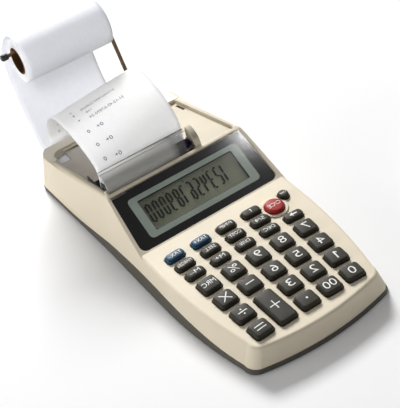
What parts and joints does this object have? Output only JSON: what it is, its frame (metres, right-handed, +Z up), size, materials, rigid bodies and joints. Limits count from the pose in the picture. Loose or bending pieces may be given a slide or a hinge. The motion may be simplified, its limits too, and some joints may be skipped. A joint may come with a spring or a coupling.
{
  "type": "printing calculator",
  "caption": "Desktop printing calculator with a tilted keypad, a smoked display, a tear window over the printer and a paper roll on a wire arm.",
  "frame": {"origin": "centre of the lower case's flat underside, halfway along and across the case", "axes": "+Z up from the table, +Y from the user towards the paper roll, +X towards the bracket side of the printer, where the clear and off keys are"},
  "size_m": [0.1044, 0.251, 0.1048],
  "materials": {
    "shell_cream": "fine satin",
    "shell_dark": "satin",
    "key_dark": "satin",
    "key_blue": "satin",
    "key_red": "satin",
    "lens": "glossy smoked",
    "panel": "satin",
    "smoke_window": "glossy smoked",
    "mat_rubber": "matte",
    "board_green": "satin",
    "mechanism_plastic": "satin",
    "roller_rubber": "matte",
    "ink_felt": "matte",
    "gear_white": "satin",
    "steel": "satin",
    "brass": "satin",
    "paper": "matte",
    "cardboard": "matte",
    "foot_rubber": "matte",
    "cell_metal": "satin"
  },
  "bodies": {
    "case": {"top_case": "shell_cream", "bottom_case": "shell_dark", "rear_cover": "shell_cream", "display_lens": "lens", "lcd_panel": "panel", "keypad_mat": "mat_rubber", "main_board": "board_green", "printer_frame": "mechanism_plastic", "print_motor": "steel", "battery_cells": "cell_metal", "case_screws": "steel", "rubber_feet": "foot_rubber", "dc_jack": "mechanism_plastic", "paper_web": "paper", "printed_paper": "paper"},
    "key_tax_minus": {"key_tax_minus": "key_blue"},
    "key_tax_plus": {"key_tax_plus": "key_blue"},
    "key_print": {"key_print": "key_dark"},
    "key_round": {"key_round": "key_dark"},
    "key_margin": {"key_margin": "key_dark"},
    "key_sell": {"key_sell": "key_dark"},
    "key_cost": {"key_cost": "key_dark"},
    "key_decimals": {"key_decimals": "key_dark"},
    "key_memory_minus": {"key_memory_minus": "key_dark"},
    "key_memory_plus": {"key_memory_plus": "key_dark"},
    "key_date_number": {"key_date_number": "key_dark"},
    "key_paper_feed": {"key_paper_feed": "key_dark"},
    "key_shift": {"key_shift": "key_dark"},
    "key_memory_recall": {"key_memory_recall": "key_dark"},
    "key_percent": {"key_percent": "key_dark"},
    "key_9": {"key_9": "key_dark"},
    "key_8": {"key_8": "key_dark"},
    "key_7": {"key_7": "key_dark"},
    "key_multiply": {"key_multiply": "key_dark"},
    "key_minus": {"key_minus": "key_dark"},
    "key_6": {"key_6": "key_dark"},
    "key_5": {"key_5": "key_dark"},
    "key_4": {"key_4": "key_dark"},
    "key_divide": {"key_divide": "key_dark"},
    "key_3": {"key_3": "key_dark"},
    "key_2": {"key_2": "key_dark"},
    "key_1": {"key_1": "key_dark"},
    "key_equals": {"key_equals": "key_dark"},
    "key_plus": {"key_plus": "key_dark"},
    "key_point": {"key_point": "key_dark"},
    "key_double_zero": {"key_double_zero": "key_dark"},
    "key_0": {"key_0": "key_dark"},
    "key_clear": {"key_clear": "key_red"},
    "key_off": {"key_off": "key_dark"},
    "window": {"tear_window": "smoke_window"},
    "arm": {"paper_arm": "steel", "arm_cap": "mechanism_plastic"},
    "roll": {"paper_core": "cardboard", "paper_roll": "paper"},
    "drum": {"type_drum": "mechanism_plastic"},
    "platen": {"platen_roller": "roller_rubber", "platen_gear": "gear_white"},
    "ink": {"ink_roller": "ink_felt"},
    "pinion": {"motor_pinion": "brass"},
    "door": {"battery_door": "shell_dark"}
  },
  "joints": [
    {"name": "key_tax_minus_press", "type": "slide", "parent": "case", "child": "key_tax_minus", "axis": [0, 0.0698, -0.9976], "range_m": [0, 0.0012], "stiffness_N_per_m": 300},
    {"name": "key_tax_plus_press", "type": "slide", "parent": "case", "child": "key_tax_plus", "axis": [0, 0.0698, -0.9976], "range_m": [0, 0.0012], "stiffness_N_per_m": 300},
    {"name": "key_print_press", "type": "slide", "parent": "case", "child": "key_print", "axis": [0, 0.0698, -0.9976], "range_m": [0, 0.0012], "stiffness_N_per_m": 300},
    {"name": "key_round_press", "type": "slide", "parent": "case", "child": "key_round", "axis": [0, 0.0698, -0.9976], "range_m": [0, 0.0012], "stiffness_N_per_m": 300},
    {"name": "key_margin_press", "type": "slide", "parent": "case", "child": "key_margin", "axis": [0, 0.0698, -0.9976], "range_m": [0, 0.0012], "stiffness_N_per_m": 300},
    {"name": "key_sell_press", "type": "slide", "parent": "case", "child": "key_sell", "axis": [0, 0.0698, -0.9976], "range_m": [0, 0.0012], "stiffness_N_per_m": 300},
    {"name": "key_cost_press", "type": "slide", "parent": "case", "child": "key_cost", "axis": [0, 0.0698, -0.9976], "range_m": [0, 0.0012], "stiffness_N_per_m": 300},
    {"name": "key_decimals_press", "type": "slide", "parent": "case", "child": "key_decimals", "axis": [0, 0.0698, -0.9976], "range_m": [0, 0.0012], "stiffness_N_per_m": 300},
    {"name": "key_memory_minus_press", "type": "slide", "parent": "case", "child": "key_memory_minus", "axis": [0, 0.0698, -0.9976], "range_m": [0, 0.0012], "stiffness_N_per_m": 300},
    {"name": "key_memory_plus_press", "type": "slide", "parent": "case", "child": "key_memory_plus", "axis": [0, 0.0698, -0.9976], "range_m": [0, 0.0012], "stiffness_N_per_m": 300},
    {"name": "key_date_number_press", "type": "slide", "parent": "case", "child": "key_date_number", "axis": [0, 0.0698, -0.9976], "range_m": [0, 0.0012], "stiffness_N_per_m": 300},
    {"name": "key_paper_feed_press", "type": "slide", "parent": "case", "child": "key_paper_feed", "axis": [0, 0.0698, -0.9976], "range_m": [0, 0.0012], "stiffness_N_per_m": 300},
    {"name": "key_shift_press", "type": "slide", "parent": "case", "child": "key_shift", "axis": [0, 0.0698, -0.9976], "range_m": [0, 0.0012], "stiffness_N_per_m": 300},
    {"name": "key_memory_recall_press", "type": "slide", "parent": "case", "child": "key_memory_recall", "axis": [0, 0.0698, -0.9976], "range_m": [0, 0.0012], "stiffness_N_per_m": 300},
    {"name": "key_percent_press", "type": "slide", "parent": "case", "child": "key_percent", "axis": [0, 0.0698, -0.9976], "range_m": [0, 0.0012], "stiffness_N_per_m": 300},
    {"name": "key_9_press", "type": "slide", "parent": "case", "child": "key_9", "axis": [0, 0.0698, -0.9976], "range_m": [0, 0.0012], "stiffness_N_per_m": 300},
    {"name": "key_8_press", "type": "slide", "parent": "case", "child": "key_8", "axis": [0, 0.0698, -0.9976], "range_m": [0, 0.0012], "stiffness_N_per_m": 300},
    {"name": "key_7_press", "type": "slide", "parent": "case", "child": "key_7", "axis": [0, 0.0698, -0.9976], "range_m": [0, 0.0012], "stiffness_N_per_m": 300},
    {"name": "key_multiply_press", "type": "slide", "parent": "case", "child": "key_multiply", "axis": [0, 0.0698, -0.9976], "range_m": [0, 0.0012], "stiffness_N_per_m": 300},
    {"name": "key_minus_press", "type": "slide", "parent": "case", "child": "key_minus", "axis": [0, 0.0698, -0.9976], "range_m": [0, 0.0012], "stiffness_N_per_m": 300},
    {"name": "key_6_press", "type": "slide", "parent": "case", "child": "key_6", "axis": [0, 0.0698, -0.9976], "range_m": [0, 0.0012], "stiffness_N_per_m": 300},
    {"name": "key_5_press", "type": "slide", "parent": "case", "child": "key_5", "axis": [0, 0.0698, -0.9976], "range_m": [0, 0.0012], "stiffness_N_per_m": 300},
    {"name": "key_4_press", "type": "slide", "parent": "case", "child": "key_4", "axis": [0, 0.0698, -0.9976], "range_m": [0, 0.0012], "stiffness_N_per_m": 300},
    {"name": "key_divide_press", "type": "slide", "parent": "case", "child": "key_divide", "axis": [0, 0.0698, -0.9976], "range_m": [0, 0.0012], "stiffness_N_per_m": 300},
    {"name": "key_3_press", "type": "slide", "parent": "case", "child": "key_3", "axis": [0, 0.0698, -0.9976], "range_m": [0, 0.0012], "stiffness_N_per_m": 300},
    {"name": "key_2_press", "type": "slide", "parent": "case", "child": "key_2", "axis": [0, 0.0698, -0.9976], "range_m": [0, 0.0012], "stiffness_N_per_m": 300},
    {"name": "key_1_press", "type": "slide", "parent": "case", "child": "key_1", "axis": [0, 0.0698, -0.9976], "range_m": [0, 0.0012], "stiffness_N_per_m": 300},
    {"name": "key_equals_press", "type": "slide", "parent": "case", "child": "key_equals", "axis": [0, 0.0698, -0.9976], "range_m": [0, 0.0012], "stiffness_N_per_m": 300},
    {"name": "key_plus_press", "type": "slide", "parent": "case", "child": "key_plus", "axis": [0, 0.0698, -0.9976], "range_m": [0, 0.0012], "stiffness_N_per_m": 300},
    {"name": "key_point_press", "type": "slide", "parent": "case", "child": "key_point", "axis": [0, 0.0698, -0.9976], "range_m": [0, 0.0012], "stiffness_N_per_m": 300},
    {"name": "key_double_zero_press", "type": "slide", "parent": "case", "child": "key_double_zero", "axis": [0, 0.0698, -0.9976], "range_m": [0, 0.0012], "stiffness_N_per_m": 300},
    {"name": "key_0_press", "type": "slide", "parent": "case", "child": "key_0", "axis": [0, 0.0698, -0.9976], "range_m": [0, 0.0012], "stiffness_N_per_m": 300},
    {"name": "key_clear_press", "type": "slide", "parent": "case", "child": "key_clear", "axis": [0, 0.0698, -0.9976], "range_m": [0, 0.0012], "stiffness_N_per_m": 300},
    {"name": "key_off_press", "type": "slide", "parent": "case", "child": "key_off", "axis": [0, 0.0698, -0.9976], "range_m": [0, 0.0012], "stiffness_N_per_m": 300},
    {"name": "window_flip", "type": "hinge", "parent": "case", "child": "window", "pos_m": [-0.015, 0.0276, 0.0406], "axis": [1, 0, 0], "range_deg": [0, 62]},
    {"name": "arm_swing", "type": "hinge", "parent": "case", "child": "arm", "pos_m": [0.02, 0.08225, 0.02857], "axis": [-1, 0, 0], "range_deg": [-20, 45], "deforming": ["paper_web"]},
    {"name": "roll_turn", "type": "hinge", "parent": "arm", "child": "roll", "pos_m": [-0.0133, 0.11425, 0.08873], "axis": [1, 0, 0], "continuous": true},
    {"name": "drum_turn", "type": "hinge", "parent": "case", "child": "drum", "pos_m": [-0.0133, 0.03205, 0.031], "axis": [1, 0, 0], "continuous": true},
    {"name": "platen_turn", "type": "hinge", "parent": "case", "child": "platen", "pos_m": [-0.0133, 0.04485, 0.031], "axis": [1, 0, 0], "continuous": true},
    {"name": "ink_turn", "type": "hinge", "parent": "case", "child": "ink", "pos_m": [-0.0133, 0.03225, 0.0407], "axis": [1, 0, 0], "continuous": true},
    {"name": "pinion_turn", "type": "hinge", "parent": "case", "child": "pinion", "pos_m": [0.017, 0.04973, 0.02182], "axis": [1, 0, 0], "continuous": true},
    {"name": "door_slide", "type": "slide", "parent": "case", "child": "door", "axis": [0, 1, 0], "range_m": [0, 0.03]}
  ],
  "couplings": [
    {"joint": "platen_turn", "follows": "drum_turn", "ratio": -1},
    {"joint": "pinion_turn", "follows": "drum_turn", "ratio": 1.6},
    {"joint": "ink_turn", "follows": "drum_turn", "ratio": -1.875}
  ]
}
